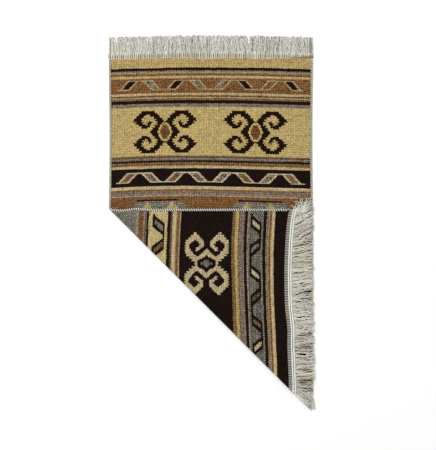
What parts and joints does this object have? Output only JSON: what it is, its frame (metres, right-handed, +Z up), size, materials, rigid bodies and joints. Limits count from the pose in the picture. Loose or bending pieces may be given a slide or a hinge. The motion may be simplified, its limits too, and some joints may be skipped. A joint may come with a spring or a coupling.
{
  "type": "kilim rug",
  "caption": "Small flat-woven wool kilim with cotton fringes at both ends, lying flat with one corner folded over so that its back shows.",
  "frame": {"origin": "on the floor, under the middle of the bounding box", "axes": "+Z up from the floor, +Y along the warp towards the end that lies open, +X across the rug towards its unfolded side"},
  "size_m": [0.6118, 1.1064, 0.011],
  "materials": {
    "wool": "matt weft-faced wool weave",
    "whipping": "matt wool yarn, whipped",
    "cotton": "matt twisted cotton"
  },
  "bodies": {
    "root": {"cloth": "wool", "edge_cord_left": "whipping", "edge_cord_right": "whipping", "fringe_top": "cotton", "fringe_bottom": "cotton"}
  },
  "joints": []
}
